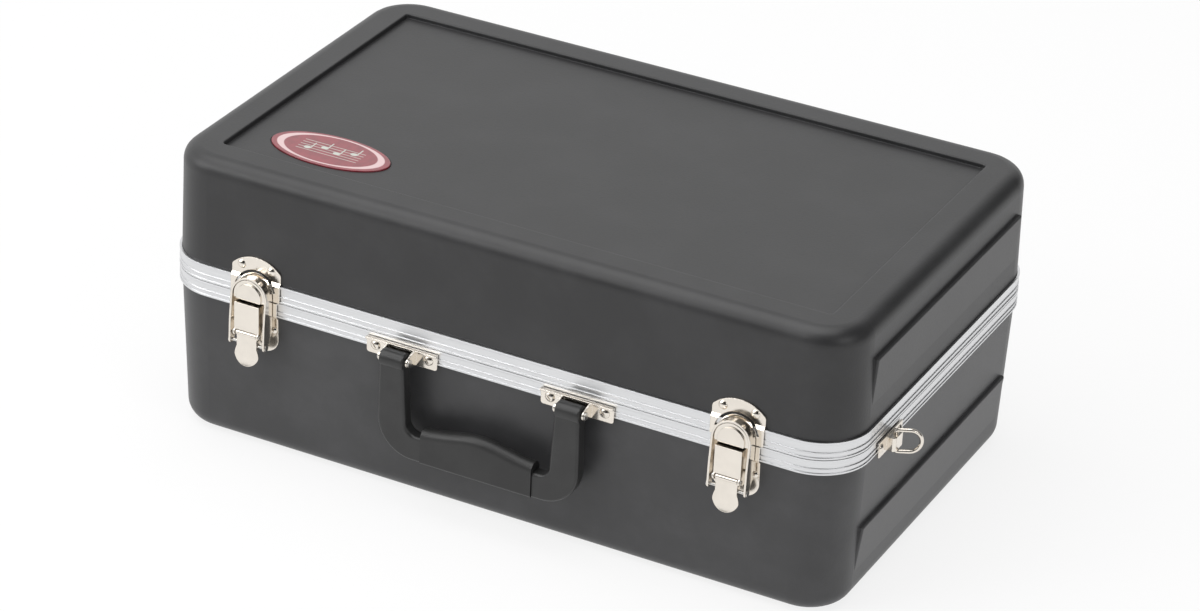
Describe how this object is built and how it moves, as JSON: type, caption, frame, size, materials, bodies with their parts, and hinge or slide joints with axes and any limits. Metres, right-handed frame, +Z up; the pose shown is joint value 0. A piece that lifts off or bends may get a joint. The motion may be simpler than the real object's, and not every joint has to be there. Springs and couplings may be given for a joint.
{
  "type": "cornet case",
  "caption": "Hard moulded cornet case with ribbed metal edges, a hinged lid, draw latches, a folding carry handle and strap rings.",
  "frame": {"origin": "centre of the bottom face that the case rests on", "axes": "+X along the case's length to the right end as seen from the front, -Y out of the front with the latches and the handle, +Z up"},
  "size_m": [0.4976, 0.3025, 0.1873],
  "materials": {
    "shell_plastic": "satin, fine pebble grain",
    "valance_aluminium": "satin anodised, ribbed",
    "nickel": "polished nickel plate",
    "steel_pins": "plain steel",
    "handle_plastic": "satin",
    "handle_grip_plastic": "soft satin",
    "badge_enamel": "gloss, dark red with a pale ring",
    "lining": "plush over foam"
  },
  "bodies": {
    "base": {"base_shell": "shell_plastic", "base_valance": "valance_aluminium", "horn_block": "lining", "long_well_block": "lining", "small_parts_block": "lining", "latch_rivets": "nickel", "handle_pins": "steel_pins", "handle_bracket_screws": "nickel", "strap_bracket_rivets": "nickel", "hinge_base_rivets": "nickel", "left_latch_body": "nickel", "left_lever_pin": "steel_pins", "left_handle_bracket": "nickel", "left_strap_bracket": "nickel", "left_hinge_base_leaf": "nickel", "left_hinge_pin": "steel_pins", "right_latch_body": "nickel", "right_lever_pin": "steel_pins", "right_handle_bracket": "nickel", "right_strap_bracket": "nickel", "right_hinge_base_leaf": "nickel", "right_hinge_pin": "steel_pins"},
    "lid": {"lid_shell": "shell_plastic", "lid_valance": "valance_aluminium", "lid_cushion": "lining", "badge": "badge_enamel", "keeper_rivets": "nickel", "hinge_lid_rivets": "nickel", "left_keeper": "nickel", "left_hinge_lid_leaf": "nickel", "right_keeper": "nickel", "right_hinge_lid_leaf": "nickel"},
    "handle": {"handle_frame": "handle_plastic", "handle_grip": "handle_grip_plastic"},
    "left_lever": {"left_latch_lever": "nickel", "left_bail_pin": "steel_pins"},
    "left_bail": {"left_bail": "nickel"},
    "left_ring": {"left_strap_ring": "nickel"},
    "right_lever": {"right_latch_lever": "nickel", "right_bail_pin": "steel_pins"},
    "right_bail": {"right_bail": "nickel"},
    "right_ring": {"right_strap_ring": "nickel"}
  },
  "joints": [
    {"name": "lid_hinge", "type": "hinge", "parent": "base", "child": "lid", "pos_m": [0, 0.1422, 0.1068], "axis": [-1, 0, 0], "range_deg": [0, 105]},
    {"name": "handle_swing", "type": "hinge", "parent": "base", "child": "handle", "pos_m": [0, -0.1488, 0.0988], "axis": [-1, 0, 0], "range_deg": [-5, 165]},
    {"name": "left_lever_lift", "type": "hinge", "parent": "base", "child": "left_lever", "pos_m": [-0.161, -0.149, 0.0858], "axis": [-1, 0, 0], "range_deg": [0, 140]},
    {"name": "left_bail_swing", "type": "hinge", "parent": "left_lever", "child": "left_bail", "pos_m": [-0.161, -0.1475, 0.0788], "axis": [-1, 0, 0], "range_deg": [-168, 0]},
    {"name": "left_ring_swing", "type": "hinge", "parent": "base", "child": "left_ring", "pos_m": [-0.2338, -0.079, 0.0988], "axis": [0, 0, -1], "range_deg": [-106.4, 53.6]},
    {"name": "right_lever_lift", "type": "hinge", "parent": "base", "child": "right_lever", "pos_m": [0.161, -0.149, 0.0858], "axis": [-1, 0, 0], "range_deg": [0, 140]},
    {"name": "right_bail_swing", "type": "hinge", "parent": "right_lever", "child": "right_bail", "pos_m": [0.161, -0.1475, 0.0788], "axis": [-1, 0, 0], "range_deg": [-168, 0]},
    {"name": "right_ring_swing", "type": "hinge", "parent": "base", "child": "right_ring", "pos_m": [0.2338, -0.079, 0.0988], "axis": [0, 0, 1], "range_deg": [-106.4, 53.6]}
  ],
  "couplings": [
    {"joint": "left_bail_swing", "follows": "left_lever_lift", "ratio": -1.2},
    {"joint": "right_bail_swing", "follows": "right_lever_lift", "ratio": -1.2}
  ]
}
